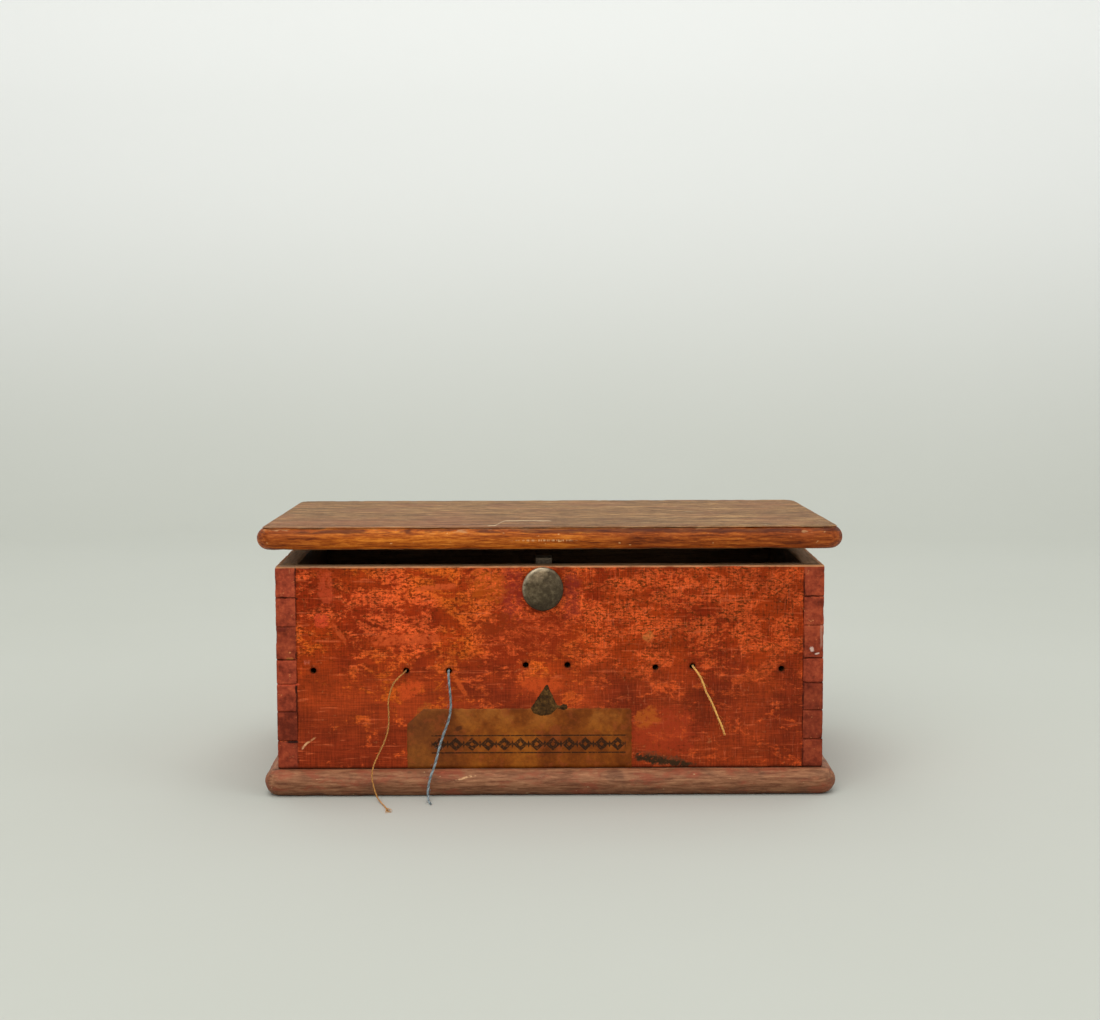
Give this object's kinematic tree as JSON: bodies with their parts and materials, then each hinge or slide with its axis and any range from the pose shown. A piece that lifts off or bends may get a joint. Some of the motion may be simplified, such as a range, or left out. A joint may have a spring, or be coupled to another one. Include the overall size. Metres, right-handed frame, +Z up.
{
  "type": "thread dispensing bobbin box",
  "caption": "Dovetailed wooden box with an overhanging hinged lid, a push-button catch and bobbins on a rod that pay thread out through holes in the front.",
  "frame": {"origin": "centre of the base board's underside, where the box stands", "axes": "+X to the right of someone facing the front, +Y to the back, +Z up"},
  "size_m": [0.2828, 0.1997, 0.1321],
  "materials": {
    "painted_front": "orange-red paint, worn in level streaks to a dark red-brown",
    "painted_walls": "dark red paint, worn",
    "base_wood": "brown board with remnants of pinkish red paint",
    "lid_wood": "worn grey-brown top with an orange-brown varnished edge",
    "inner_wood": "unpainted, aged",
    "bobbin_wood": "turned, waxed",
    "dark_iron": "dark, pitted",
    "spring_steel": "dull, with a worn bright tip",
    "brass": "tarnished",
    "screw_steel": "dull",
    "label_paper": "aged, varnished paper with a printed band of plain ornament",
    "patch": "dark dried residue",
    "tan_thread": "linen thread",
    "blue_thread": "twisted thread",
    "yellow_thread": "twisted thread",
    "red_thread": "cotton thread",
    "white_thread": "cotton thread",
    "green_thread": "cotton thread",
    "black_thread": "cotton thread",
    "brown_thread": "cotton thread"
  },
  "bodies": {
    "root": {"base_board": "base_wood", "front_board": "painted_front", "back_board": "painted_walls", "left_end_board": "painted_walls", "right_end_board": "painted_walls", "divider_left": "inner_wood", "divider_middle": "inner_wood", "divider_right": "inner_wood", "rod_cleat_left": "inner_wood", "rod_cleat_right": "inner_wood", "cleat_screws": "screw_steel", "bobbin_rod": "inner_wood", "hinge_left_lower_leaf": "brass", "hinge_left_pin": "brass", "hinge_right_lower_leaf": "brass", "hinge_right_pin": "brass", "hinge_lower_screws": "screw_steel", "catch_foot": "spring_steel", "catch_screws": "screw_steel", "base_nails": "dark_iron", "paper_label": "label_paper", "triangle_patch": "patch", "thread_tan": "tan_thread", "thread_blue": "blue_thread", "thread_yellow": "yellow_thread"},
    "lid": {"lid_board": "lid_wood", "strike_plate": "brass", "strike_screws": "screw_steel", "hinge_left_upper_leaf": "brass", "hinge_right_upper_leaf": "brass", "hinge_upper_screws": "screw_steel"},
    "button": {"button_cap": "dark_iron", "button_stem": "dark_iron", "button_collar": "dark_iron"},
    "catch": {"catch_arm": "spring_steel"},
    "spool_1": {"bobbin_1": "bobbin_wood", "thread_winding_1": "red_thread"},
    "spool_2": {"bobbin_2": "bobbin_wood", "thread_winding_2": "tan_thread"},
    "spool_3": {"bobbin_3": "bobbin_wood", "thread_winding_3": "blue_thread"},
    "spool_4": {"bobbin_4": "bobbin_wood", "thread_winding_4": "white_thread"},
    "spool_5": {"bobbin_5": "bobbin_wood", "thread_winding_5": "green_thread"},
    "spool_6": {"bobbin_6": "bobbin_wood", "thread_winding_6": "black_thread"},
    "spool_7": {"bobbin_7": "bobbin_wood", "thread_winding_7": "yellow_thread"},
    "spool_8": {"bobbin_8": "bobbin_wood", "thread_winding_8": "brown_thread"}
  },
  "joints": [
    {"name": "lid_hinge", "type": "hinge", "parent": "root", "child": "lid", "pos_m": [0, 0.08035, 0.1147], "axis": [-1, 0, 0], "range_deg": [-3, 150]},
    {"name": "button_press", "type": "slide", "parent": "root", "child": "button", "axis": [0, 1, 0], "range_m": [0, 0.0018], "stiffness_N_per_m": 400},
    {"name": "catch_flex", "type": "hinge", "parent": "root", "child": "catch", "pos_m": [-0.0029, -0.06595, 0.0825], "axis": [-1, 0, 0], "range_deg": [0, 5.6]},
    {"name": "spool_1_spin", "type": "hinge", "parent": "root", "child": "spool_1", "pos_m": [-0.10347, 0, 0.061], "axis": [1, 0, 0], "continuous": true},
    {"name": "spool_2_spin", "type": "hinge", "parent": "root", "child": "spool_2", "pos_m": [-0.07623, 0, 0.061], "axis": [1, 0, 0], "continuous": true},
    {"name": "spool_3_spin", "type": "hinge", "parent": "root", "child": "spool_3", "pos_m": [-0.04377, 0, 0.061], "axis": [1, 0, 0], "continuous": true},
    {"name": "spool_4_spin", "type": "hinge", "parent": "root", "child": "spool_4", "pos_m": [-0.01753, 0, 0.061], "axis": [1, 0, 0], "continuous": true},
    {"name": "spool_5_spin", "type": "hinge", "parent": "root", "child": "spool_5", "pos_m": [0.0153, 0, 0.061], "axis": [1, 0, 0], "continuous": true},
    {"name": "spool_6_spin", "type": "hinge", "parent": "root", "child": "spool_6", "pos_m": [0.0429, 0, 0.061], "axis": [1, 0, 0], "continuous": true},
    {"name": "spool_7_spin", "type": "hinge", "parent": "root", "child": "spool_7", "pos_m": [0.07657, 0, 0.061], "axis": [1, 0, 0], "continuous": true},
    {"name": "spool_8_spin", "type": "hinge", "parent": "root", "child": "spool_8", "pos_m": [0.10363, 0, 0.061], "axis": [1, 0, 0], "continuous": true}
  ],
  "couplings": [
    {"joint": "catch_flex", "follows": "button_press", "rad_per_m": 52.632}
  ]
}
